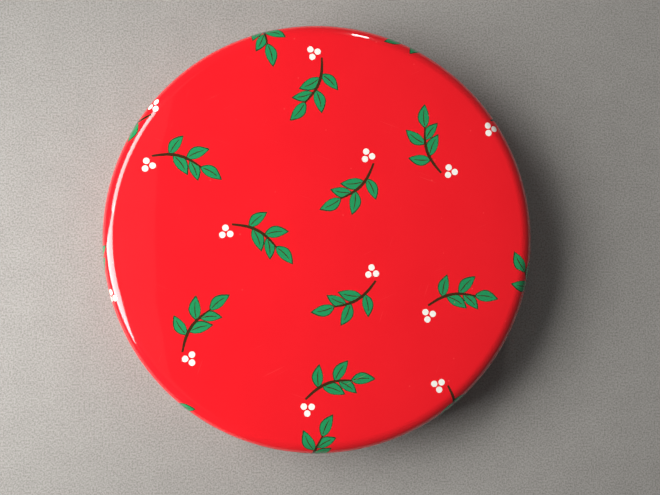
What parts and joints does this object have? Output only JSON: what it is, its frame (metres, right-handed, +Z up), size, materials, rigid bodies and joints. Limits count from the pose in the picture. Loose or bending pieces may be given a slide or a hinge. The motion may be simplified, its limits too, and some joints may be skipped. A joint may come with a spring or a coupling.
{
  "type": "bobbin box",
  "caption": "Shallow round slip-lid tin with a lift-out wooden peg board that carries wound sewing machine bobbins.",
  "frame": {"origin": "middle of the resting ring under the tin, on the table", "axes": "+Z up out of the lid; +X is the picture's right and +Y the picture's top; the tin's side lap is at +Y"},
  "size_m": [0.2234, 0.2234, 0.034],
  "materials": {
    "printed_tin": "glossy varnished print on tinplate",
    "bare_tinplate": "plain lacquered tinplate",
    "birch": "sanded, clear oiled",
    "clear_plastic": "clear moulded",
    "thread_ivory": "spun polyester thread, wound",
    "thread_navy": "spun polyester thread, wound",
    "thread_mustard": "spun polyester thread, wound",
    "thread_teal": "spun polyester thread, wound",
    "thread_rose": "spun polyester thread, wound",
    "thread_charcoal": "spun polyester thread, wound",
    "thread_leaf_green": "spun polyester thread, wound",
    "thread_sky": "spun polyester thread, wound"
  },
  "bodies": {
    "tin": {"tin_wall": "printed_tin", "bottom_plate": "bare_tinplate"},
    "board": {"peg_board": "birch", "board_pegs": "birch", "board_feet": "birch"},
    "lid": {"lid": "printed_tin"},
    "bobbin_01": {"bobbin_01": "clear_plastic", "thread_01": "thread_teal"},
    "bobbin_02": {"bobbin_02": "clear_plastic", "thread_02": "thread_leaf_green"},
    "bobbin_03": {"bobbin_03": "clear_plastic", "thread_03": "thread_navy"},
    "bobbin_04": {"bobbin_04": "clear_plastic", "thread_04": "thread_rose"},
    "bobbin_05": {"bobbin_05": "clear_plastic", "thread_05": "thread_sky"},
    "bobbin_06": {"bobbin_06": "clear_plastic", "thread_06": "thread_mustard"},
    "bobbin_07": {"bobbin_07": "clear_plastic", "thread_07": "thread_charcoal"},
    "bobbin_08": {"bobbin_08": "clear_plastic", "thread_08": "thread_ivory"},
    "bobbin_09": {"bobbin_09": "clear_plastic", "thread_09": "thread_teal"},
    "bobbin_10": {"bobbin_10": "clear_plastic", "thread_10": "thread_leaf_green"},
    "bobbin_11": {"bobbin_11": "clear_plastic", "thread_11": "thread_navy"},
    "bobbin_12": {"bobbin_12": "clear_plastic", "thread_12": "thread_rose"},
    "bobbin_13": {"bobbin_13": "clear_plastic", "thread_13": "thread_sky"},
    "bobbin_14": {"bobbin_14": "clear_plastic", "thread_14": "thread_mustard"},
    "bobbin_15": {"bobbin_15": "clear_plastic", "thread_15": "thread_charcoal"},
    "bobbin_16": {"bobbin_16": "clear_plastic", "thread_16": "thread_ivory"},
    "bobbin_17": {"bobbin_17": "clear_plastic", "thread_17": "thread_teal"},
    "bobbin_18": {"bobbin_18": "clear_plastic", "thread_18": "thread_leaf_green"},
    "bobbin_19": {"bobbin_19": "clear_plastic", "thread_19": "thread_navy"},
    "bobbin_20": {"bobbin_20": "clear_plastic", "thread_20": "thread_rose"},
    "bobbin_21": {"bobbin_21": "clear_plastic", "thread_21": "thread_sky"},
    "bobbin_22": {"bobbin_22": "clear_plastic", "thread_22": "thread_mustard"},
    "bobbin_23": {"bobbin_23": "clear_plastic", "thread_23": "thread_charcoal"},
    "bobbin_24": {"bobbin_24": "clear_plastic", "thread_24": "thread_ivory"},
    "bobbin_25": {"bobbin_25": "clear_plastic", "thread_25": "thread_teal"}
  },
  "joints": [
    {"name": "board_lift", "type": "slide", "parent": "tin", "child": "board", "axis": [0, 0, 1], "range_m": [0, 0.06]},
    {"name": "lid_lift", "type": "slide", "parent": "board", "child": "lid", "axis": [0, 0, 1], "range_m": [0, 0.12]},
    {"name": "bobbin_01_spin", "type": "hinge", "parent": "board", "child": "bobbin_01", "pos_m": [0, 0, 0.0159], "axis": [0, 0, 1], "continuous": true},
    {"name": "bobbin_02_spin", "type": "hinge", "parent": "board", "child": "bobbin_02", "pos_m": [0.04202, 0, 0.0159], "axis": [0, 0, 1], "continuous": true},
    {"name": "bobbin_03_spin", "type": "hinge", "parent": "board", "child": "bobbin_03", "pos_m": [0.02972, 0.02972, 0.0159], "axis": [0, 0, 1], "continuous": true},
    {"name": "bobbin_04_spin", "type": "hinge", "parent": "board", "child": "bobbin_04", "pos_m": [0, 0.04202, 0.0159], "axis": [0, 0, 1], "continuous": true},
    {"name": "bobbin_05_spin", "type": "hinge", "parent": "board", "child": "bobbin_05", "pos_m": [-0.02972, 0.02972, 0.0159], "axis": [0, 0, 1], "continuous": true},
    {"name": "bobbin_06_spin", "type": "hinge", "parent": "board", "child": "bobbin_06", "pos_m": [-0.04202, 0, 0.0159], "axis": [0, 0, 1], "continuous": true},
    {"name": "bobbin_07_spin", "type": "hinge", "parent": "board", "child": "bobbin_07", "pos_m": [-0.02972, -0.02972, 0.0159], "axis": [0, 0, 1], "continuous": true},
    {"name": "bobbin_08_spin", "type": "hinge", "parent": "board", "child": "bobbin_08", "pos_m": [0, -0.04202, 0.0159], "axis": [0, 0, 1], "continuous": true},
    {"name": "bobbin_09_spin", "type": "hinge", "parent": "board", "child": "bobbin_09", "pos_m": [0.02972, -0.02972, 0.0159], "axis": [0, 0, 1], "continuous": true},
    {"name": "bobbin_10_spin", "type": "hinge", "parent": "board", "child": "bobbin_10", "pos_m": [0.08243, 0.0164, 0.0159], "axis": [0, 0, 1], "continuous": true},
    {"name": "bobbin_11_spin", "type": "hinge", "parent": "board", "child": "bobbin_11", "pos_m": [0.06989, 0.0467, 0.0159], "axis": [0, 0, 1], "continuous": true},
    {"name": "bobbin_12_spin", "type": "hinge", "parent": "board", "child": "bobbin_12", "pos_m": [0.0467, 0.06989, 0.0159], "axis": [0, 0, 1], "continuous": true},
    {"name": "bobbin_13_spin", "type": "hinge", "parent": "board", "child": "bobbin_13", "pos_m": [0.0164, 0.08243, 0.0159], "axis": [0, 0, 1], "continuous": true},
    {"name": "bobbin_14_spin", "type": "hinge", "parent": "board", "child": "bobbin_14", "pos_m": [-0.0164, 0.08243, 0.0159], "axis": [0, 0, 1], "continuous": true},
    {"name": "bobbin_15_spin", "type": "hinge", "parent": "board", "child": "bobbin_15", "pos_m": [-0.0467, 0.06989, 0.0159], "axis": [0, 0, 1], "continuous": true},
    {"name": "bobbin_16_spin", "type": "hinge", "parent": "board", "child": "bobbin_16", "pos_m": [-0.06989, 0.0467, 0.0159], "axis": [0, 0, 1], "continuous": true},
    {"name": "bobbin_17_spin", "type": "hinge", "parent": "board", "child": "bobbin_17", "pos_m": [-0.08243, 0.0164, 0.0159], "axis": [0, 0, 1], "continuous": true},
    {"name": "bobbin_18_spin", "type": "hinge", "parent": "board", "child": "bobbin_18", "pos_m": [-0.08243, -0.0164, 0.0159], "axis": [0, 0, 1], "continuous": true},
    {"name": "bobbin_19_spin", "type": "hinge", "parent": "board", "child": "bobbin_19", "pos_m": [-0.06989, -0.0467, 0.0159], "axis": [0, 0, 1], "continuous": true},
    {"name": "bobbin_20_spin", "type": "hinge", "parent": "board", "child": "bobbin_20", "pos_m": [-0.0467, -0.06989, 0.0159], "axis": [0, 0, 1], "continuous": true},
    {"name": "bobbin_21_spin", "type": "hinge", "parent": "board", "child": "bobbin_21", "pos_m": [-0.0164, -0.08243, 0.0159], "axis": [0, 0, 1], "continuous": true},
    {"name": "bobbin_22_spin", "type": "hinge", "parent": "board", "child": "bobbin_22", "pos_m": [0.0164, -0.08243, 0.0159], "axis": [0, 0, 1], "continuous": true},
    {"name": "bobbin_23_spin", "type": "hinge", "parent": "board", "child": "bobbin_23", "pos_m": [0.0467, -0.06989, 0.0159], "axis": [0, 0, 1], "continuous": true},
    {"name": "bobbin_24_spin", "type": "hinge", "parent": "board", "child": "bobbin_24", "pos_m": [0.06989, -0.0467, 0.0159], "axis": [0, 0, 1], "continuous": true},
    {"name": "bobbin_25_spin", "type": "hinge", "parent": "board", "child": "bobbin_25", "pos_m": [0.08243, -0.0164, 0.0159], "axis": [0, 0, 1], "continuous": true}
  ]
}
